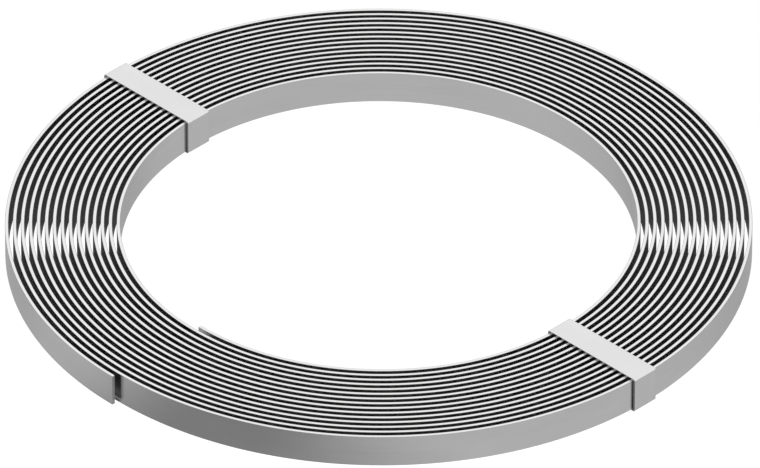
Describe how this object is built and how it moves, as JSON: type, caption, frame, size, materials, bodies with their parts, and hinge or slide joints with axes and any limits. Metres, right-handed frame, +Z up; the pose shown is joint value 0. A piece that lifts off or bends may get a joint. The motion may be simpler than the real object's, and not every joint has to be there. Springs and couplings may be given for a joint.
{
  "type": "steel coil",
  "caption": "Coil of flat steel strip wound in one open spiral round a wide eye, held flat by two folded straps.",
  "frame": {"origin": "on the coil's axis, at the level of the floor that it lies on, which is the underside of both straps; the spiral reaches further on two sides, so the middle of the bounding box is up to 1.8 mm off the axis", "axes": "+Z up, along the coil's axis; +X through strap_right, -X through strap_left, whose middle lines are at Y -2.5 mm; -Y through both free ends of the strip, whose radius grows counter-clockwise from above"},
  "size_m": [0.6581, 0.6571, 0.034],
  "materials": {
    "strip_steel": "smooth zinc-grey steel strip, satin, clean",
    "strap_steel": "smooth zinc-grey steel band, satin, a little lighter than the strip"
  },
  "bodies": {
    "root": {"wound_strip": "strip_steel", "strap_right": "strap_steel", "strap_left": "strap_steel"}
  },
  "joints": []
}
